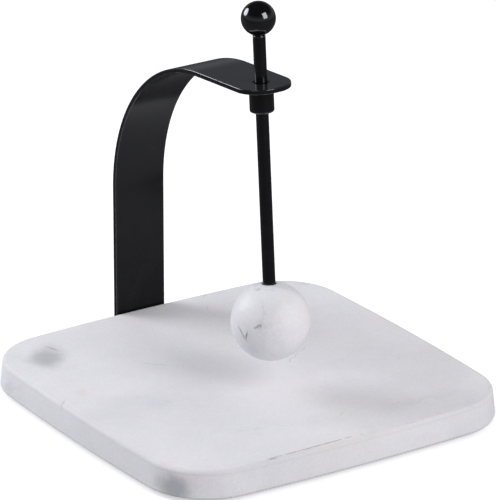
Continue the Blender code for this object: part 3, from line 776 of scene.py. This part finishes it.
def makeBall():
    rim = asin((ball["hole"] + 0.00015) / ball["radius"])
    floor = ball["radius"] - ball["holeDepth"]
    lip = ball["radius"] * cos(rim)
    bore = np.array([(ball["hole"] - 0.0001, floor), (ball["hole"], floor + 0.0001),
                     (ball["hole"], lip - 0.0002), (ball["hole"] + 0.00005, lip - 0.00006)])
    arc = ballArc(ball["radius"], rim, pi - 0.012, 90)
    mask = np.concatenate([[0, 0, 1, 1], np.zeros(len(arc))])
    mesh = ontoAxis(turned("weight_ball", np.concatenate([bore, arc]), 128, edgeMask=mask), -ball["drop"])
    mesh.set_sharp_from_angle(angle=radians(50))
    return addPiece("weight_ball", mesh, ballMarble, "weight", "marble_ball")


insert = {"outer": 0.0033, "inner": 0.0026}


# A plain sleeve in the ball's hole, which takes the rod's lower stub.
def makeInsert():
    low = ball["radius"] - ball["holeDepth"] + gap
    high = ball["holeDepth"] + ball["shoulder"] - gap
    outer, inner = insert["outer"], insert["inner"]
    profile, mask = roundCorners([(inner, high, 0.0001), (outer, high, 0.0001), (outer, low, 0.0001),
                                  (inner, low, 0.0001)], 3, closed=True)
    mesh = ontoAxis(turned("thread_sleeve", profile, 48, closed=True, edgeMask=mask), -ball["drop"])
    return addPiece("thread_sleeve", mesh, brass, "weight", "ball_insert")


anchor = {"radius": 0.0030, "bore": 0.0022, "length": 0.0080, "knurlDepth": 0.00022, "knurlTurns": 12,
          "knurlPitch": 2600}


# Knurled sleeves: the outside radius falls by depth * (1 - |sin(n t + k z)| |sin(n t - k z)|).
def makeAnchors():
    rows, around, depth = 33, 96, anchor["knurlDepth"]
    turns, pitch = anchor["knurlTurns"], anchor["knurlPitch"]
    angle = np.linspace(0, 2 * pi, around, endpoint=False)
    height = np.linspace(0.0002, anchor["length"] - 0.0002, rows)[:, None]
    pattern = np.abs(np.sin(turns * angle + pitch * height)) * np.abs(np.sin(turns * angle - pitch * height))
    outside = anchor["radius"] - depth * (1 - pattern)
    bore = np.full((2, around), anchor["bore"])
    radius = np.concatenate([outside, bore])
    heights = np.concatenate([np.repeat(height, around, axis=1), np.full((1, around), anchor["length"]),
                              np.zeros((1, around))])
    rings = np.stack([radius * np.cos(angle), radius * np.sin(angle), heights], axis=-1)
    for index, place in enumerate(screwPlaces):
        mesh = moved(skin("anchor_sleeve", rings, ends=False), (place, 0, pocketTop + gap))
        mesh.set_sharp_from_angle(angle=radians(40))
        addPiece(f"anchor_sleeve_{index + 1}", mesh, brass, "stand", f"base_anchor_{index + 1}")


screw = {"head": 0.0038, "shank": 0.0019, "length": 0.0098, "first": 0.0130, "spacing": 0.0160,
         "socket": 0.00145, "socketDepth": 0.0014}


# Countersunk screws with a six-sided socket: the socket's radius is apothem / cos(angle to the nearest flat).
def makeScrews():
    around = 72
    angle = np.linspace(0, 2 * pi, around, endpoint=False)
    flat = (angle + pi / 6) % (pi / 3) - pi / 6
    hexagon = screw["socket"] * cos(pi / 6) / np.cos(flat)
    cone = screw["head"] - screw["shank"]
    socketDepth = screw["socketDepth"]
    outside = [(screw["head"] - 0.0002, 0.0), (screw["head"], 0.0001), (screw["shank"], cone),
               (screw["shank"], screw["length"] - 0.0004), (screw["shank"] - 0.0004, screw["length"])]
    radii = np.stack([hexagon - 0.0001, hexagon, hexagon, *[np.full(around, radius) for radius, _ in outside]])
    heights = np.array([socketDepth, socketDepth - 0.0001, 0.0, *[height for _, height in outside]])
    rings = np.stack([radii * np.cos(angle), radii * np.sin(angle),
                      np.repeat(heights[:, None], around, axis=1)], axis=-1)
    for index, place in enumerate(screwPlaces):
        mesh = moved(skin("socket_screw", rings), (place, 0, tabBottom + gap))
        mesh.set_sharp_from_angle(angle=radians(25))
        addPiece(f"socket_screw_{index + 1}", mesh, steel, "stand", f"arm_screw_{index + 1}")


foot = {"radius": 0.0080, "height": 0.0020, "inset": 0.0270, "grooves": (0.0062, 0.0044, 0.0026),
        "grooveWidth": 0.0008, "grooveDepth": 0.0004}


# Rubber pads with a round edge and three shallow grooves underneath.
def makeFeet():
    radius, top = foot["radius"], foot["height"] - gap
    corners = [(0, top, 0), (radius, top, 0.0003), (radius, 0, 0.0005)]
    wide, deep, slope = foot["grooveWidth"], foot["grooveDepth"], 0.0002
    for ring in foot["grooves"]:
        corners += [(ring, 0, 0.0001), (ring - slope, deep, 0.0001), (ring - wide + slope, deep, 0.0001),
                    (ring - wide, 0, 0.0001)]
    profile, mask = roundCorners([*corners, (0, 0, 0)], 3)
    profile, mask = profile[1:-1], mask[1:-1]
    spread = slab["width"] / 2 - foot["inset"]
    for name, alongX, alongY in (("front_left", -1, -1), ("front_right", 1, -1), ("back_left", -1, 1),
                                 ("back_right", 1, 1)):
        place = (slabX + alongX * spread, alongY * spread, 0)
        mesh = moved(turned("pad_" + name, profile, 56, edgeMask=mask), place)
        addPiece("pad_" + name, mesh, rubber, "stand", "foot_" + name)


# Worked out from the pieces' own values
slabTop = slab["bottom"] + slab["thickness"]
reach = slab["width"] / 2 - slab["notch"] + gap + strap["thickness"]
slabX = (reach - slab["width"] / 2) / 2  # so that the whole holder's box is centred on the origin
strapX = slabX - reach
tabBottom = slab["bottom"] + gap
pocketTop = slab["bottom"] + strap["thickness"] + 2 * gap
bendEndX = strapX + strap["bend"] * (1 - sin(strap["rise"]))
bendEndZ = strap["bendHeight"] + strap["bend"] * cos(strap["rise"])
guideAt = np.array([bendEndX + strap["guide"] * cos(strap["rise"]), 0,
                    bendEndZ + strap["guide"] * sin(strap["rise"])])
screwPlaces = [strapX + screw["first"] + index * screw["spacing"] for index in range(2)]
print("sizes worked out: the guide hole is at", guideAt.round(4))

makeSlab()
makeStrap()
makeCollar()
makeRod()
makeKnob()
makeBall()
makeInsert()
makeAnchors()
makeScrews()
makeFeet()
print("pieces made")


floorLook = {"reach": 40.0, "colour": (0.62, 0.62, 0.63), "mirrored": 0.17, "glow": 0.55, "far": 0.10}


# A pale floor. What the camera sees of it has a little glow, so that it stays pale far from the lights. In
# mirrors it is darker, with a faint glow far off.
def makeFloor():
    side = floorLook["reach"]
    corners = np.array([[-side, -side, 0], [side, -side, 0], [side, side, 0], [-side, side, 0]], float)
    mesh = bpy.data.meshes.new("floor")
    mesh.from_pydata(corners.tolist(), [], [(0, 1, 2, 3)])
    made = bpy.data.materials.new("pale_floor")
    made.use_nodes = True
    tree = made.node_tree
    tree.nodes.clear()
    path = addNode(tree, "ShaderNodeLightPath").outputs
    darker = [level * floorLook["mirrored"] for level in floorLook["colour"]]
    colour = mixColour(tree, path["Is Glossy Ray"], (*floorLook["colour"], 1), (*darker, 1))
    matt = addNode(tree, "ShaderNodeBsdfDiffuse", {"Color": colour})
    place = addNode(tree, "ShaderNodeTexCoord").outputs["Object"]
    distance = addNode(tree, "ShaderNodeVectorMath", {0: place}, {"operation": "LENGTH"}).outputs["Value"]
    mirroredGlow = remap(tree, distance, 0.9, 2.6, 0.0, floorLook["far"])
    seenGlow = remap(tree, distance, 0.3, 2.0, floorLook["glow"], 1.0)
    glow = maths(tree, "ADD", maths(tree, "MULTIPLY", path["Is Camera Ray"], seenGlow),
                 maths(tree, "MULTIPLY", path["Is Glossy Ray"], mirroredGlow))
    glow = addNode(tree, "ShaderNodeEmission", {"Strength": glow})
    both = addNode(tree, "ShaderNodeAddShader", {0: matt.outputs[0], 1: glow.outputs[0]})
    addNode(tree, "ShaderNodeOutputMaterial", {"Surface": both.outputs[0]})
    mesh.materials.append(made)
    holder("floor", mesh)


def aim(piece, towards):
    piece.rotation_mode = "QUATERNION"
    piece.rotation_quaternion = Vector(towards).to_track_quat("-Z", "Y")


lights = {
    "left_softbox": {"towards": (-0.770, -0.527, 0.359), "distance": 1.10, "size": (0.74, 0.60), "power": 8.6,
                     "shape": "ELLIPSE", "colour": (0.93, 0.94, 1.00)},
    "right_softbox": {"towards": (0.832, 0.263, 0.485), "distance": 1.20, "size": (0.60, 0.74), "power": 8.2,
                      "shape": "RECTANGLE", "colour": (1.00, 0.99, 1.00)},
}
# How bright the room is: as soft light, and as mirrored low down near the horizon and high up
room = {"light": 0.50, "low": 0.27, "high": 0.025, "highFrom": 0.55}


# Two soft boxes, and a room that is bright to look at, softer as light and darker in mirrors.
def makeLights():
    middle = np.array([0.01, 0.0, 0.20])
    for name, values in lights.items():
        light = bpy.data.lights.new(name, "AREA")
        light.shape = values["shape"]
        light.size, light.size_y = values["size"]
        light.energy = values["power"]
        light.color = values["colour"]
        lamp = holder(name, light)
        towards = np.array(values["towards"])
        lamp.location = middle + towards * values["distance"]
        aim(lamp, -towards)
        lamp.visible_camera = False
    world = bpy.data.worlds.new("studio")
    bpy.context.scene.world = world
    world.use_nodes = True
    tree = world.node_tree
    tree.nodes.clear()
    path = addNode(tree, "ShaderNodeLightPath").outputs
    heading = addNode(tree, "ShaderNodeTexCoord").outputs["Generated"]
    up = addNode(tree, "ShaderNodeSeparateXYZ", {0: heading}).outputs[2]
    mirrored = remap(tree, up, 0.08, room["highFrom"], room["low"], room["high"])
    level = addNode(tree, "ShaderNodeMix",
                    {0: path["Is Glossy Ray"], 2: room["light"], 3: mirrored}).outputs[0]
    level = addNode(tree, "ShaderNodeMix", {0: path["Is Camera Ray"], 2: level, 3: 1.0}).outputs[0]
    tint = mixColour(tree, path["Is Glossy Ray"], (1, 1, 1, 1), (0.93, 0.97, 1.04, 1))
    background = addNode(tree, "ShaderNodeBackground", {"Color": tint, "Strength": level})
    addNode(tree, "ShaderNodeOutputWorld", {"Surface": background.outputs[0]})


view = {
    "place": (1.9197, -1.2531, 0.9925),
    "looks": (-0.7780, 0.5085, -0.3691),
    "lens": 355.8,
}


def makeCamera():
    lens = bpy.data.cameras.new("camera")
    lens.lens = view["lens"]
    lens.sensor_width = 36
    lens.clip_start = 0.05
    lens.clip_end = 200
    camera = holder("camera", lens)
    camera.location = view["place"]
    aim(camera, view["looks"])
    bpy.context.scene.camera = camera
    bpy.context.scene.view_settings.view_transform = "Standard"


makeFloor()
makeLights()
makeCamera()
print("stage made")
